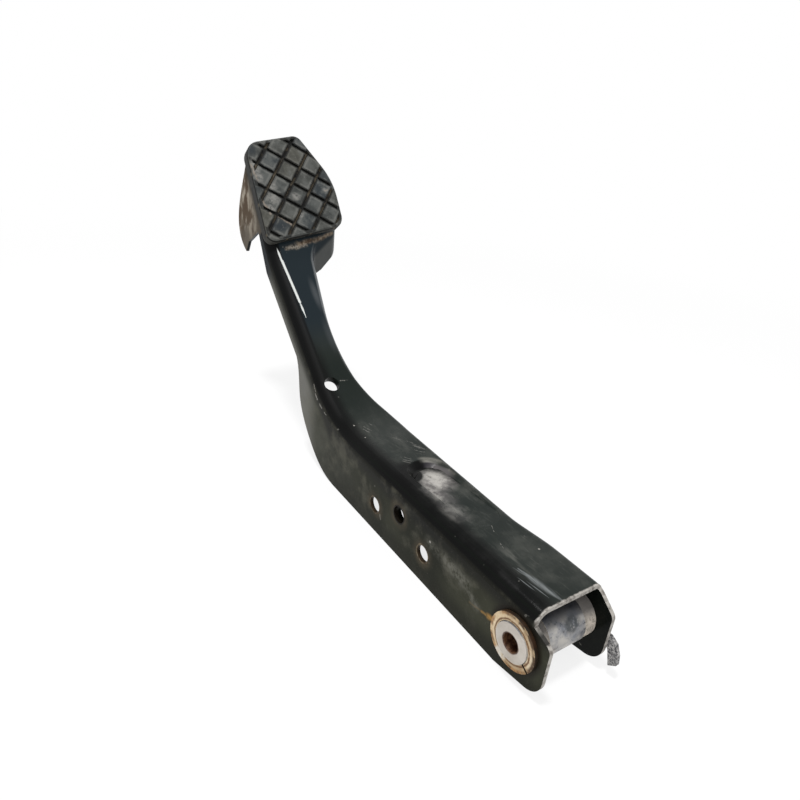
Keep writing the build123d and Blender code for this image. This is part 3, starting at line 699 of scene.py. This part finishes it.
# ---------------------------------------------------------------- the rubber pad
# Places where the tread is rubbed pale or stays dark: centre, radii, softness, share
PAD_WORN = (
    ((284.5, 17.0, 147.0), (7.0, 5.5, 9.0), 0.75, 1.0),
    ((281.0, 15.5, 142.0), (5.0, 4.0, 6.0), 0.75, 1.0),
    ((277.0, 7.6, 136.5), (3.2, 4.5, 4.0), 0.75, 1.0),
    ((272.0, 9.5, 129.5), (5.0, 6.5, 6.0), 0.75, 1.0),
    ((273.0, -7.0, 131.0), (4.0, 4.5, 4.5), 0.75, 1.0),
    ((275.8, -30.0, 134.8), (1.6, 3.2, 2.2), 0.75, 1.0),
    ((265.5, -7.0, 120.5), (2.6, 4.0, 2.8), 0.75, 1.0),
    ((268.0, 13.0, 124.0), (4.0, 5.0, 6.0), 0.75, 1.0),
)
PAD_DARK = (
    ((292.5, 16.5, 156.5), (7, 6, 7), 0.9, 1.0),
    ((262.0, 9.0, 114.0), (6.5, 8, 6.5), 0.7, 1.0),
)
# Tan lines left on the tread: start, end, width, share
PAD_LINES = (
    ((265.9, 10.6, 121.2), (263.6, 5.5, 118.0), 2.4, 1.0),
    ((263.6, 5.5, 118.0), (261.3, 0.6, 114.8), 2.4, 1.0),
    ((271.5, 16.8, 129.0), (265.9, 13.6, 121.0), 2.2, 1.0),
    ((275.9, -32.1, 135.0), (275.3, -29.2, 134.1), 1.2, 1.0),
    ((286.2, 19.2, 149.0), (279.2, 16.6, 139.5), 1.8, 1.0),
)
# Grooves of the tread: angle and pitch of each set, and a point where two of them cross
GROOVES = ((-31.5, 13.6), (53.3, 12.5))
CROSSING_ACROSS, CROSSING_UP = 7.0, 2.3
PAD_ACROSS = (0.0, -1.0, 0.0)

# Two tones between which each block of the tread has its own
BLOCK_TONES = ((0.020, 0.027, 0.032), (0.066, 0.065, 0.054))
SKIRT_MOTTLE = (0.45, 0.62, (0.012, 0.012, 0.011), (0.038, 0.037, 0.033))
SKIRT_STRENGTH = 0.9
GROOVE_BLACK = (0.003, 0.003, 0.0025)
# Levels over the tread, in mm, over which its faces, grooves and side fade in
FACE_LEVEL, GROOVE_LEVEL, SKIRT_LEVEL = (-0.7, -0.25), (-0.5, -1.1), (-1.75, -2.0)
# Distances from the middle of a groove
BANK_REACH, EDGE_REACH, EDGE_SOFT, SILT_REACH = (2.0, 1.45), (1.8, 2.9), 0.6, (1.0, 0.2)
PAD_MID, PAD_FINE = (9, 5, 0.62, 21.0), (2.0, 4, 0.65, 22.0)
PAD_WOBBLE = (3.5, 1.6, 24.0)
RUBBER_ROUGHNESS = (0.3, 0.7, 0.55, 0.72)
RUBBER_SPECULAR = 0.2
RUBBER_RELIEF = (0.5, 0.5)
# Layers: tone and strength
BLOCK_PALE = ((0.100, 0.104, 0.098), 0.65)
BLOCK_DARK = ((0.014, 0.016, 0.016), 0.5)
BANK = ((0.008, 0.008, 0.007), 0.85)
DARK_PLACE = ((0.012, 0.017, 0.022), 0.75)
BLOCK_EDGE_HIGHLIGHT = ((0.16, 0.158, 0.145), 0.45)
BLOCK_GRIT = ((0.16, 0.16, 0.15), 0.3)
WORN_PLACE = ((0.22, 0.215, 0.20), 0.75)
SILT = ((0.095, 0.076, 0.050), 0.75)
TAN_LINE = ((0.25, 0.205, 0.165), 0.75)


def tread_lattice(n, across, along):
    """Distance from the nearest groove of each set, and a number that is the same all over one block."""
    distances, cell = [], n.add("ShaderNodeCombineXYZ")
    for index, (angle, pitch) in enumerate(GROOVES):
        turn = math.radians(angle)
        over = n.times(n.math("SUBTRACT", across, CROSSING_ACROSS), -math.sin(turn))
        rise = n.times(n.math("SUBTRACT", along, CROSSING_UP), math.cos(turn))
        count = n.math("DIVIDE", n.math("ADD", over, rise), pitch)
        distances.append(n.times(n.size(n.math("SUBTRACT", count, n.math("ROUND", count))), pitch))
        n.put(cell.inputs[index], n.math("FLOOR", count))
    tint = n.add("ShaderNodeTexWhiteNoise", noise_dimensions="2D")
    n.put(tint.inputs["Vector"], cell.outputs[0])
    return distances[0], distances[1], tint.outputs["Value"]


def rubber_material():
    made, n, shader = material("pad_rubber")
    mid = n.noise(*PAD_MID)
    fine = n.noise(*PAD_FINE)
    from_tread = n.vec("SUBTRACT", n.coords(), PAD_ORIGIN)
    level = n.vec("DOT_PRODUCT", from_tread, PAD_NORMAL)
    across = n.vec("DOT_PRODUCT", from_tread, PAD_ACROSS)
    along = n.vec("DOT_PRODUCT", from_tread, PAD_UP)
    falling, rising, tint = tread_lattice(n, across, along)
    near_groove = n.math("MINIMUM", falling, rising)
    face = n.ramp(level, *FACE_LEVEL)
    skirt = n.ramp(level, *SKIRT_LEVEL)
    groove = n.times(n.ramp(level, *GROOVE_LEVEL), n.ramp(skirt, 0.5, 0.0))

    # Blocks of the tread, each with its own tone
    blocks = n.mix(tint, *BLOCK_TONES)
    blocks = n.cover(blocks, *BLOCK_PALE, n.ramp(mid, 0.42, 0.64))
    blocks = n.cover(blocks, *BLOCK_DARK, n.ramp(mid, 0.5, 0.32))
    blocks = n.cover(blocks, *BANK, n.ramp(near_groove, *BANK_REACH), face, n.ramp(mid, 0.66, 0.5))
    blocks = n.cover(blocks, *DARK_PLACE, n.blobs(PAD_DARK))
    # Painted highlight along the edges of the blocks
    edges = n.band(near_groove, *EDGE_REACH, EDGE_SOFT)
    blocks = n.cover(blocks, *BLOCK_EDGE_HIGHLIGHT, edges, n.ramp(mid, 0.42, 0.58), face)
    blocks = n.cover(blocks, *BLOCK_GRIT, n.ramp(fine, 0.55, 0.72))
    ragged = n.wobble(*PAD_WOBBLE)
    blocks = n.cover(blocks, *WORN_PLACE, n.blobs(PAD_WORN, ragged), n.ramp(fine, 0.3, 0.55), face)

    # Grooves with silt in the rising ones, tan lines, and the side of the pad
    dirt = n.cover(GROOVE_BLACK, *SILT, n.ramp(rising, *SILT_REACH), n.ramp(mid, 0.42, 0.56))
    colour = n.mix(groove, blocks, dirt)
    colour = n.cover(colour, *TAN_LINE, n.strokes(PAD_LINES, ragged), n.ramp(fine, 0.3, 0.55))
    colour = n.cover(colour, n.mottle(mid, *SKIRT_MOTTLE), SKIRT_STRENGTH, skirt)
    n.put(shader.inputs["Base Color"], colour)
    n.put(shader.inputs["Roughness"], n.ramp(mid, *RUBBER_ROUGHNESS))
    shader.inputs["Specular IOR Level"].default_value = RUBBER_SPECULAR
    n.emboss(shader, n.math("ADD", n.times(fine, 0.5), mid), *RUBBER_RELIEF)
    return made


# ---------------------------------------------------------------- bushes, sleeve and felt
# Direction in the plane of the ear towards the upper corner of the open end
TOWARD_END = (-0.8, 0.0, 0.6)
# Middle of the arm between its two ears, which are the same distance to its left and right
BETWEEN_EARS = -1.3
CREAM_MOTTLE = (0.35, 0.65, (0.46, 0.34, 0.20), (0.64, 0.54, 0.39))
RUST_MOTTLE = (0.4, 0.6, (0.34, 0.165, 0.050), (0.10, 0.042, 0.016))
WALL_SHADE_MOTTLE = (0.4, 0.6, (0.005, 0.004, 0.003), (0.028, 0.014, 0.007))
BARREL_MOTTLE = (0.35, 0.65, (0.40, 0.36, 0.31), (0.56, 0.50, 0.43))
BARREL_TOP_SHADE = (0.15, 0.14, 0.13)
WALL_STRENGTH = 0.95
# Noise and wobble: size, detail, roughness, seed; size, reach, seed
BUSH_MID, BUSH_FINE = (6, 4, 0.6, 31.0), (1.6, 4, 0.65, 32.0)
BUSH_WOBBLE = (3, 0.45, 33.0)
# Ranges: along the arm, up, towards the open end, from the axis, and from the middle between the ears
BRIGHT_X, LOW_Z, BARREL_TOP_Z, TOWARD_END_RANGE = (1.0, 9.0), (-3.0, -9.5), (2.0, 9.0), (-2.0, 8.0)
OUTER_REACH, LINE_REACH, LINE_SOFT = (11.0, 12.2), (9.6, 10.35), 0.3
OUTSIDE_EARS = (18.6, 19.6)
BUSH_ROUGHNESS, BUSH_SPECULAR = 0.55, 0.12
BUSH_RELIEF = (0.3, 0.4)
# Layers: tone and strength
CREAM_GRIT = ((0.26, 0.14, 0.055), 0.6)
CREAM_BRIGHT = ((0.74, 0.60, 0.40), 0.55)
CREAM_LOW = ((0.34, 0.23, 0.115), 0.6)
# Painted shade on the rim of the flange towards the open end
OUTER_RIM_SHADE = ((0.030, 0.015, 0.008), 0.9)
INNER_LINE = ((0.12, 0.050, 0.018), 0.9)
CLEAN = ((0.68, 0.65, 0.58), 0.85)
BARREL_GRIT = ((0.11, 0.10, 0.085), 0.7)
# Clean place beside the split: centre, radii, softness
CLEAN_PLACE = ((4.8, 20.0, -10.4), (4.2, 3.0, 3.6), 0.5)


def bush_material():
    made, n, shader = material("bush_nylon")
    x, y, z = n.parts(n.coords())
    across_normal = n.size(n.normal_parts()[1])
    mid = n.noise(*BUSH_MID)
    fine = n.noise(*BUSH_FINE)
    away = n.off_axis(n.wobble(*BUSH_WOBBLE))

    # Face of the flange: cream, rusty towards its rim with painted shade over the rust on the side towards the open
    # end, and a brown line round the sleeve
    cream = n.mottle(mid, *CREAM_MOTTLE)
    cream = n.cover(cream, *CREAM_GRIT, n.ramp(fine, 0.48, 0.66))
    cream = n.cover(cream, *CREAM_BRIGHT, n.ramp(x, *BRIGHT_X))
    cream = n.cover(cream, *CREAM_LOW, n.ramp(z, *LOW_Z), n.ramp(mid, 0.3, 0.55))
    toward_end = n.ramp(n.vec("DOT_PRODUCT", n.coords(), TOWARD_END), *TOWARD_END_RANGE)
    outer_tone = n.cover(n.mottle(fine, *RUST_MOTTLE), *OUTER_RIM_SHADE, toward_end)
    outer = n.times(n.ramp(away, *OUTER_REACH), n.ramp(mid, 0.36, 0.52))
    colour = n.mix(n.times(outer, n.mixf(toward_end, 0.85, 0.95)), cream, outer_tone)
    colour = n.cover(colour, *INNER_LINE, n.band(away, *LINE_REACH, LINE_SOFT), n.ramp(fine, 0.26, 0.46))
    colour = n.cover(colour, *CLEAN, n.blob(*CLEAN_PLACE), n.ramp(fine, 0.3, 0.5))

    # Painted shade on the dark rim of the flange, and the barrel between the ears with painted shade on its top
    outside = n.ramp(n.size(n.math("SUBTRACT", y, BETWEEN_EARS)), *OUTSIDE_EARS)
    wall = n.times(n.ramp(across_normal, 0.85, 0.6), outside)
    colour = n.cover(colour, n.mottle(mid, *WALL_SHADE_MOTTLE), WALL_STRENGTH, wall)
    barrel = n.cover(n.mottle(mid, *BARREL_MOTTLE), *BARREL_GRIT, n.ramp(fine, 0.45, 0.62))
    # Painted shade on the top of the barrel, under the web
    barrel = n.mix(n.ramp(z, *BARREL_TOP_Z), barrel, BARREL_TOP_SHADE)
    colour = n.mix(n.ramp(outside, 0.5, 0.0), colour, barrel)
    n.put(shader.inputs["Base Color"], colour)
    shader.inputs["Roughness"].default_value = BUSH_ROUGHNESS
    shader.inputs["Specular IOR Level"].default_value = BUSH_SPECULAR
    n.emboss(shader, n.math("ADD", mid, fine), *BUSH_RELIEF)
    return made


ZINC_MOTTLE = (0.35, 0.65, (0.16, 0.17, 0.195), (0.42, 0.40, 0.37))
DISC_MOTTLE = (0.3, 0.7, (0.38, 0.34, 0.29), (0.52, 0.48, 0.43))
BORE_MOTTLE = (0.4, 0.62, (0.035, 0.012, 0.006), (0.12, 0.06, 0.03))
# Layers: tone and strength
ZINC_SPOTS = ((0.035, 0.038, 0.042), 1.0)
ZINC_TAN = ((0.42, 0.37, 0.32), 0.7)
ZINC_BLOT = ((0.030, 0.036, 0.040), 0.9)
ZINC_TOP_SHADE = ((0.016, 0.018, 0.023), 0.92)
SLEEVE_MID, SLEEVE_FINE = (8, 5, 0.62, 41.0), (1.8, 4, 0.65, 42.0)
BORE_WOBBLE, PLACE_WOBBLE = (3, 0.5, 43.0), (5, 3.0, 44.0)
BORE_REACH, SHADED_Z = (5.0, 4.6), (6.6, 10.4)
SLEEVE_METALLIC, SLEEVE_ROUGHNESS = 0.15, (0.3, 0.7, 0.32, 0.5)
SLEEVE_RELIEF = (0.25, 0.4)
# Places on the sleeve: centre, radii, softness
TAN_PLACE = ((-9.5, 9.0, -2.0), (8.0, 6.0, 6.0), 0.9)
BLOT_PLACE = ((-9.0, -4.0, 6.6), (6.0, 6.5, 5.0), 0.6)


def sleeve_material():
    made, n, shader = material("sleeve_zinc")
    z = n.parts(n.coords())[2]
    mid = n.noise(*SLEEVE_MID)
    fine = n.noise(*SLEEVE_FINE)
    end = n.ramp(n.size(n.normal_parts()[1]), 0.5, 0.9)
    bore = n.ramp(n.off_axis(n.wobble(*BORE_WOBBLE)), *BORE_REACH)
    spread = n.wobble(*PLACE_WOBBLE)
    side = n.mottle(mid, *ZINC_MOTTLE)
    side = n.cover(side, *ZINC_SPOTS, n.ramp(fine, 0.54, 0.66), n.ramp(mid, 0.64, 0.42))
    side = n.cover(side, *ZINC_TAN, n.blob(*TAN_PLACE, spread))
    side = n.cover(side, *ZINC_BLOT, n.blob(*BLOT_PLACE, spread), n.ramp(fine, 0.3, 0.5))
    # Painted shade on the top of the sleeve, under the web
    side = n.cover(side, *ZINC_TOP_SHADE, n.ramp(z, *SHADED_Z))
    colour = n.mix(end, side, n.mottle(mid, *DISC_MOTTLE))
    colour = n.mix(bore, colour, n.mottle(fine, *BORE_MOTTLE))
    n.put(shader.inputs["Base Color"], colour)
    shader.inputs["Metallic"].default_value = SLEEVE_METALLIC
    n.put(shader.inputs["Roughness"], n.ramp(mid, *SLEEVE_ROUGHNESS))
    n.emboss(shader, n.math("ADD", n.times(mid, 0.5), fine), *SLEEVE_RELIEF)
    return made


FELT_MOTTLE = (0.42, 0.6, (0.05, 0.05, 0.055), (0.42, 0.41, 0.40))
FELT_GREY = ((0.20, 0.20, 0.20), 0.5)
FELT_FINE, FELT_MID = (0.9, 4, 0.7, 51.0), (4, 4, 0.6, 52.0)
FELT_ROUGHNESS = 0.95
FELT_RELIEF = (0.8, 0.8)


def felt_material():
    made, n, shader = material("felt")
    fine = n.noise(*FELT_FINE)
    mid = n.noise(*FELT_MID)
    colour = n.cover(n.mottle(fine, *FELT_MOTTLE), *FELT_GREY, n.ramp(mid, 0.45, 0.65))
    n.put(shader.inputs["Base Color"], colour)
    shader.inputs["Roughness"].default_value = FELT_ROUGHNESS
    n.emboss(shader, fine, *FELT_RELIEF)
    return made


# ---------------------------------------------------------------- dressing the CAD nodes
WELD_DISTANCE = 0.002
BEVEL_SEGMENTS = 3
# Width of the rounded edges and the angle from which an edge is rounded
EDGES = {
    "pedal_arm": (0.35, 50),
    "rubber_pad": (0.45, 40),
    "bush_left": (0.3, 50),
    "bush_right": (0.3, 50),
    "spacer_sleeve": (0.35, 50),
}


def soften(obj, width, angle):
    """Rounds the sharp edges of a CAD node in the picture only."""
    weld = obj.modifiers.new("weld", "WELD")
    weld.merge_threshold = WELD_DISTANCE * MM
    bevel = obj.modifiers.new("bevel", "BEVEL")
    bevel.width = width * MM
    bevel.segments = BEVEL_SEGMENTS
    bevel.limit_method = "ANGLE"
    bevel.angle_limit = math.radians(angle)
    bevel.harden_normals = True


for name, (width, angle) in EDGES.items():
    soften(nodes[name], width, angle)
dress(nodes["pedal_arm"], arm_material())
dress(nodes["rubber_pad"], rubber_material())
bush = bush_material()
dress(nodes["bush_left"], bush)
dress(nodes["bush_right"], bush)
dress(nodes["spacer_sleeve"], sleeve_material())
dress(nodes["felt_shred"], felt_material())

# ---------------------------------------------------------------- floor and light
FLOOR_Z = -20.3 * MM
FLOOR_HALF = 150.0
FLOOR_TONE = (0.97, 0.97, 0.97, 1)
FLOOR_ROUGHNESS = 0.9
WHITE = (1.0, 1.0, 1.0)
# The floor glows from this share under the object to all of it further off, in mm from its middle
GLOW_MIDDLE = (150.0, 0.0, 0.0)
GLOW_RANGE = (350, 900)
GLOW_SHARES = (0.8, 1.0)
WORLD_LIGHT = 0.55
# Lamps: name, position and aim in metres, size, power
LAMPS = (
    ("top", (0.05, 0.3, 1.5), (0.2, 0.0, 0.06), 0.22, 14.0),
    ("fill", (-0.9, 0.7, 0.9), (0.1, 0.0, 0.03), 1.2, 5.0),
)


def background_ray(n):
    """1 for a ray that shows the background: straight to the camera, mirrored or through glass."""
    ray = n.add("ShaderNodeLightPath")
    return n.most(*(ray.outputs[f"Is {kind} Ray"] for kind in ("Camera", "Glossy", "Transmission")))


def lamp(name, at, aim, size, power):
    data = bpy.data.lights.new(name, "AREA")
    data.shape = "DISK"
    data.size = size
    data.energy = power
    obj = bpy.data.objects.new(name, data)
    scene.collection.objects.link(obj)
    obj.location = at
    obj.rotation_mode = "QUATERNION"
    obj.rotation_quaternion = (Vector(aim) - Vector(at)).to_track_quat("-Z", "Y")


floor_mesh = bpy.data.meshes.new("floor")
corners = ((-1, -1), (1, -1), (1, 1), (-1, 1))
floor_mesh.from_pydata([(FLOOR_HALF * x, FLOOR_HALF * y, FLOOR_Z) for x, y in corners], [], [(0, 1, 2, 3)])
floor = bpy.data.objects.new("floor", floor_mesh)
scene.collection.objects.link(floor)
floor_paint, fn, floor_shader = material("floor")
floor_shader.inputs["Base Color"].default_value = FLOOR_TONE
floor_shader.inputs["Roughness"].default_value = FLOOR_ROUGHNESS
floor_shader.inputs["Specular IOR Level"].default_value = 0.0
dress(floor, floor_paint)
glow = fn.add("ShaderNodeEmission")
fn.put_all(glow, Color=WHITE, Strength=1.0)
from_middle = fn.vec("LENGTH", fn.vec("SUBTRACT", fn.coords(), GLOW_MIDDLE))
blend = fn.add("ShaderNodeMixShader")
fn.put(blend.inputs[0], fn.times(background_ray(fn), fn.ramp(from_middle, *GLOW_RANGE, *GLOW_SHARES)))
fn.put(blend.inputs[1], floor_shader.outputs[0])
fn.put(blend.inputs[2], glow.outputs[0])
fn.put(fn.tree.nodes["Material Output"].inputs["Surface"], blend.outputs[0])

world = bpy.data.worlds.new("studio")
scene.world = world
world.use_nodes = True
wn = Nodes(world.node_tree)
sky = wn.tree.nodes["Background"]
wn.put_all(sky, Color=WHITE, Strength=wn.mixf(background_ray(wn), WORLD_LIGHT, 1.0))

for settings in LAMPS:
    lamp(*settings)
